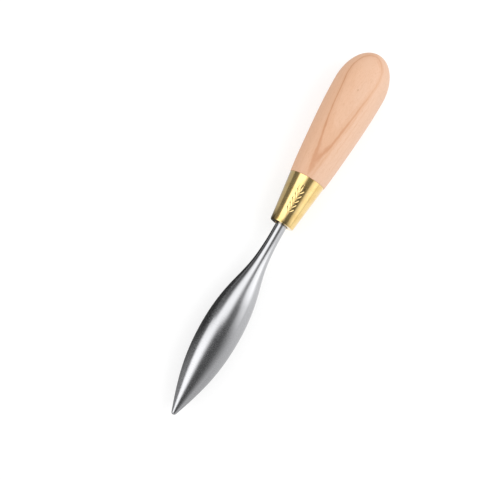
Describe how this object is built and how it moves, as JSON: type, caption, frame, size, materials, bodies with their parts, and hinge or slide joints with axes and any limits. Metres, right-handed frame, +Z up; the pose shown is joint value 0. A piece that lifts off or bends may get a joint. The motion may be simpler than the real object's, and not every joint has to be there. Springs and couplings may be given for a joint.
{
  "type": "hand dibber",
  "caption": "Hand dibber for planting holes: a solid leaf-shaped steel point on a waisted neck, a tapered ferrule and a turned, rounded wooden grip.",
  "frame": {"origin": "centre of the bounding box at the level that the tool rests on", "axes": "+X from the steel point towards the butt of the grip, +Z up from the resting surface; the tool lies on the belly of its pod and the belly of its grip, with the pressed sprig on top"},
  "size_m": [0.28, 0.0366, 0.0368],
  "materials": {
    "steel": "ground and satin brushed round the pod, brighter on the neck",
    "brass": "polished",
    "beech": "smooth, thinly waxed, pale pinkish beech",
    "adhesive": "cured amber epoxy"
  },
  "bodies": {
    "root": {"head": "steel", "ferrule": "brass", "handle": "beech", "tang_glue": "adhesive"}
  },
  "joints": []
}
